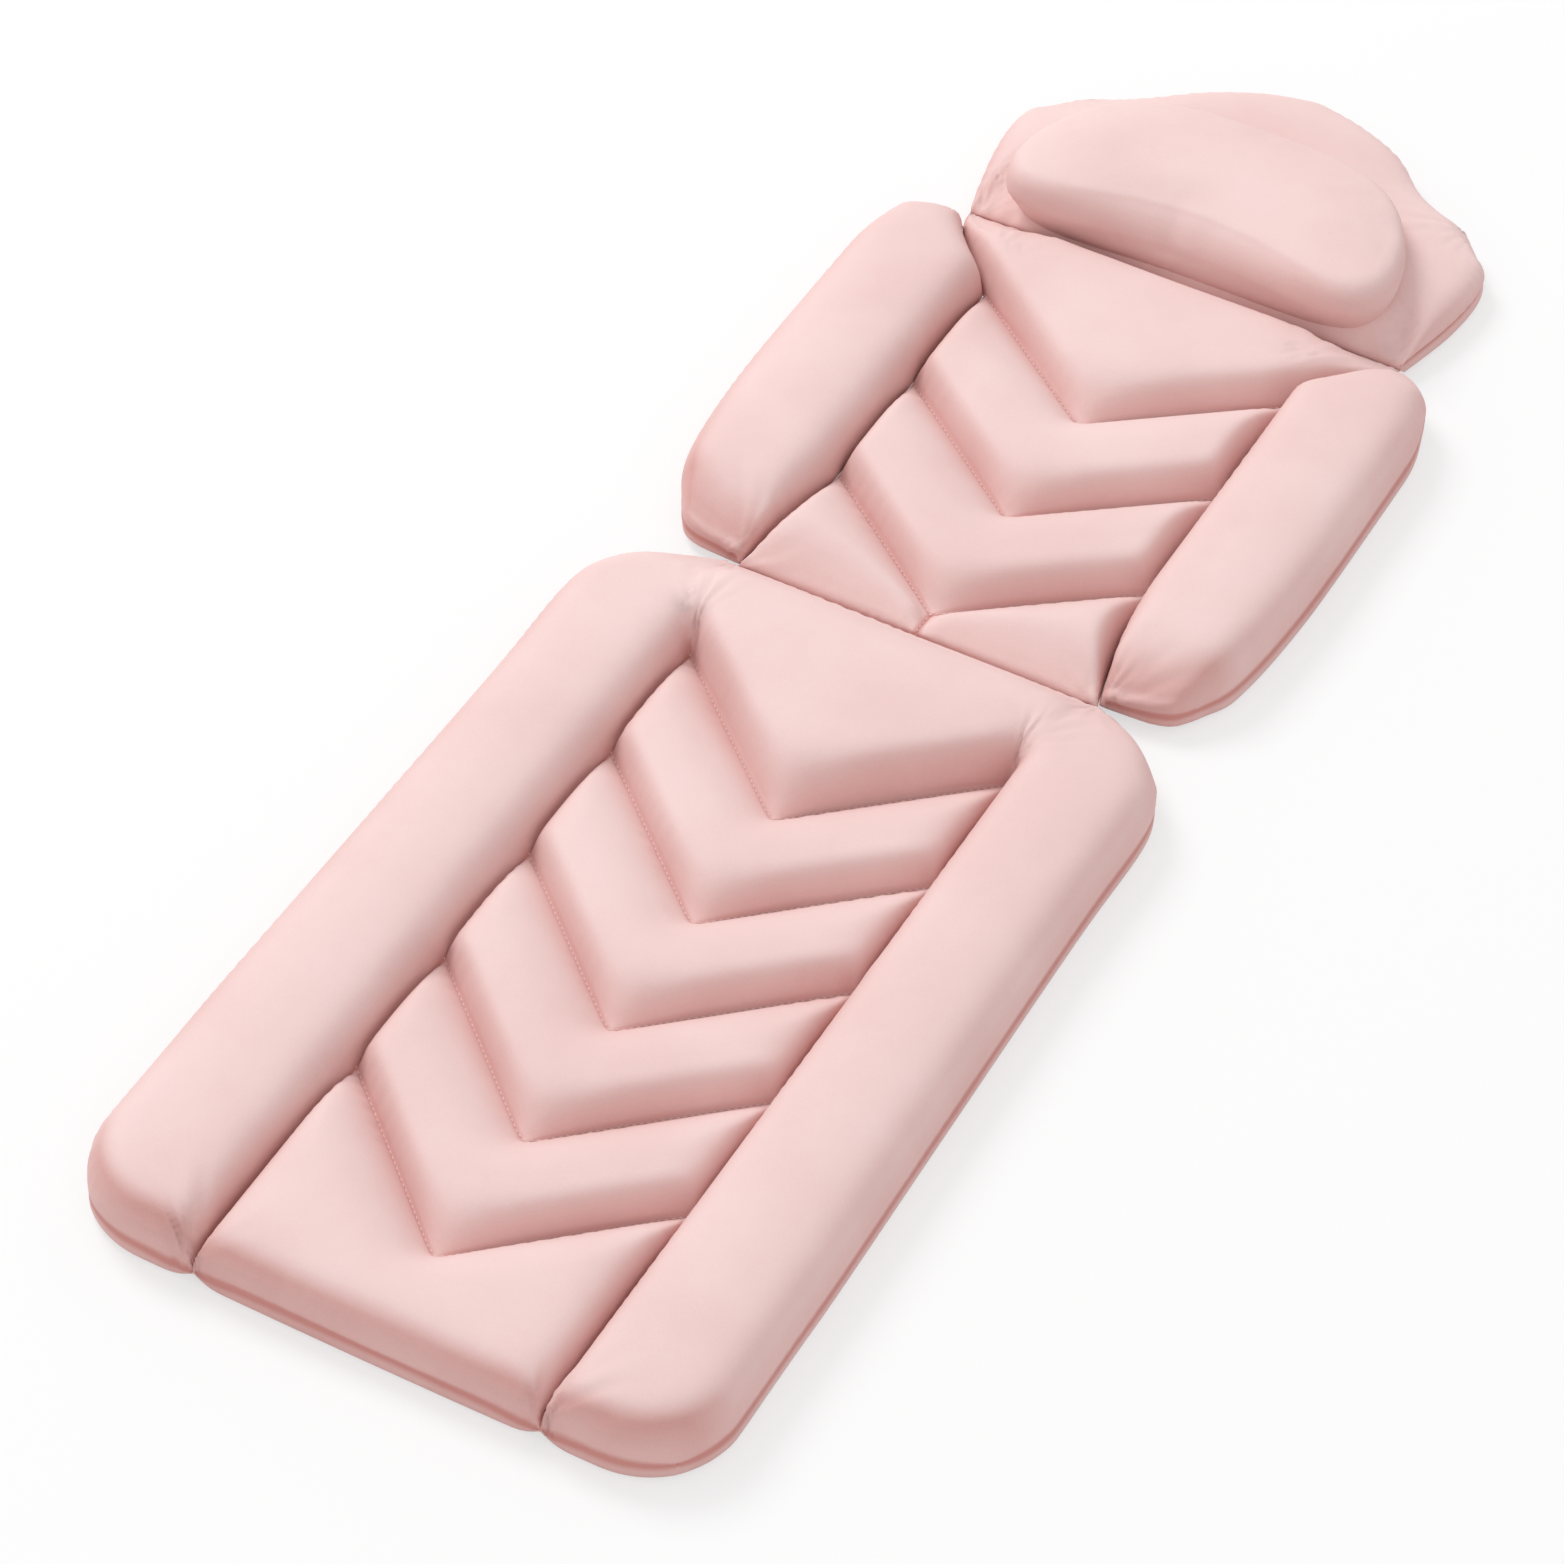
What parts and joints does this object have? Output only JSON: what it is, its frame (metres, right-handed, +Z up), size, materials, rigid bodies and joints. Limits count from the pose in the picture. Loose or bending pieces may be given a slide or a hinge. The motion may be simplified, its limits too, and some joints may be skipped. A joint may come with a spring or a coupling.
{
  "type": "full body bath cushion",
  "caption": "Quilted full body bath cushion with a chevron lane between bolsters, side wings, a shield head section and a bean pillow, held by suction cups.",
  "frame": {"origin": "bottom centre of the bounding box, on the plane of the suction cup rims", "axes": "+Y from the foot end to the head, +Z up from the suction cups to the quilted top, +X to the side"},
  "size_m": [0.4238, 1.25, 0.0678],
  "materials": {
    "cover_fabric": "soft matt napped knit, pale pink",
    "backing_fabric": "matt woven backing, pale pink",
    "wadding": "white polyester wadding, hidden",
    "suction_cup": "soft clear-white vinyl, satin"
  },
  "bodies": {
    "lower_section": {"lower_top_cover": "cover_fabric", "lower_backing": "backing_fabric", "lower_bolster_fill": "wadding", "foot_cell_fill": "wadding", "lower_chevron_fill_1": "wadding", "lower_chevron_fill_2": "wadding", "lower_chevron_fill_3": "wadding", "lower_chevron_fill_4": "wadding", "lower_suction_cup_1": "suction_cup", "lower_suction_cup_2": "suction_cup", "lower_suction_cup_3": "suction_cup", "lower_suction_cup_4": "suction_cup", "lower_suction_cup_5": "suction_cup", "lower_suction_cup_6": "suction_cup", "waist_seam": "backing_fabric"},
    "back_section": {"back_top_cover": "cover_fabric", "back_backing": "backing_fabric", "shoulder_cell_fill": "wadding", "back_chevron_fill_1": "wadding", "back_chevron_fill_2": "wadding", "waist_corner_fill_left": "wadding", "waist_corner_fill_right": "wadding", "back_suction_cup_1": "suction_cup", "back_suction_cup_2": "suction_cup", "left_wing_seam": "backing_fabric", "right_wing_seam": "backing_fabric", "neck_seam": "backing_fabric"},
    "left_wing": {"left_wing_cover": "cover_fabric", "left_wing_backing": "backing_fabric", "left_wing_fill": "wadding", "left_wing_suction_cup_1": "suction_cup"},
    "right_wing": {"right_wing_cover": "cover_fabric", "right_wing_backing": "backing_fabric", "right_wing_fill": "wadding", "right_wing_suction_cup_1": "suction_cup"},
    "head_section": {"head_top_cover": "cover_fabric", "head_backing": "backing_fabric", "head_fill": "wadding", "pillow_cover": "cover_fabric", "pillow_fill": "wadding", "head_suction_cup_1": "suction_cup", "head_suction_cup_2": "suction_cup"}
  },
  "joints": [
    {"name": "waist_fold", "type": "hinge", "parent": "lower_section", "child": "back_section", "pos_m": [0, 0.026, 0.011], "axis": [1, 0, 0], "range_deg": [-120, 60]},
    {"name": "neck_fold", "type": "hinge", "parent": "back_section", "child": "head_section", "pos_m": [0, 0.403, 0.011], "axis": [1, 0, 0], "range_deg": [-90, 20]},
    {"name": "left_wing_fold", "type": "hinge", "parent": "back_section", "child": "left_wing", "pos_m": [-0.111, 0.222, 0.011], "axis": [0, 1, 0], "range_deg": [-10, 55]},
    {"name": "right_wing_fold", "type": "hinge", "parent": "back_section", "child": "right_wing", "pos_m": [0.111, 0.222, 0.011], "axis": [0, -1, 0], "range_deg": [-10, 55]}
  ]
}
